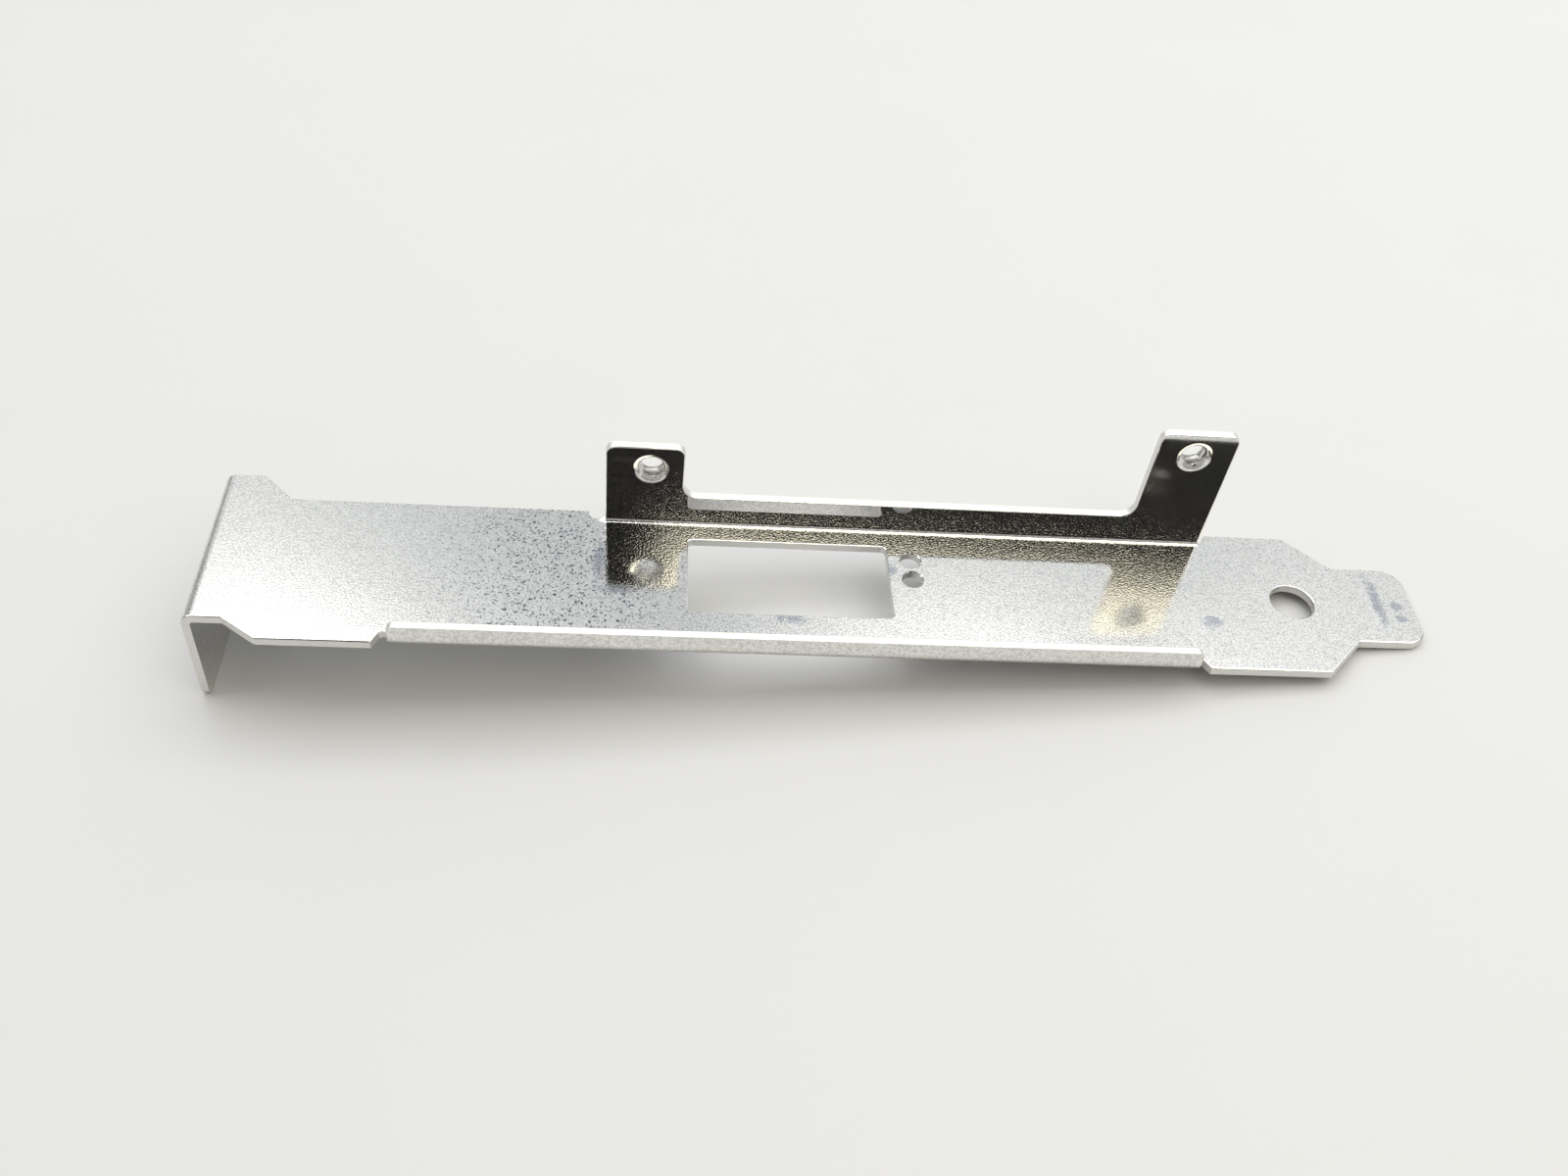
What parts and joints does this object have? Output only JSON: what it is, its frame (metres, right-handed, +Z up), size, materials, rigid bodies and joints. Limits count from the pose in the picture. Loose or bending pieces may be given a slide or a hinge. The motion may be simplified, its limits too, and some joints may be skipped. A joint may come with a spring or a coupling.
{
  "type": "slot cover bracket",
  "caption": "Folded steel slot bracket for a plug-in card: angled screw tab, port window, tapped card ears, stiffening lip and a tongue for the chassis.",
  "frame": {"origin": "centre of the bounding box, on the ground it rests on", "axes": "+X from the screw tab to the tongue, +Y from the lip to the card ears, +Z up as it rests on its tab's edge and tongue"},
  "size_m": [0.1206, 0.0216, 0.0178],
  "materials": {
    "plated_steel": "bright plated sheet, fine grained, half gloss"
  },
  "bodies": {
    "root": {"slot_bracket": "plated_steel"}
  },
  "joints": []
}
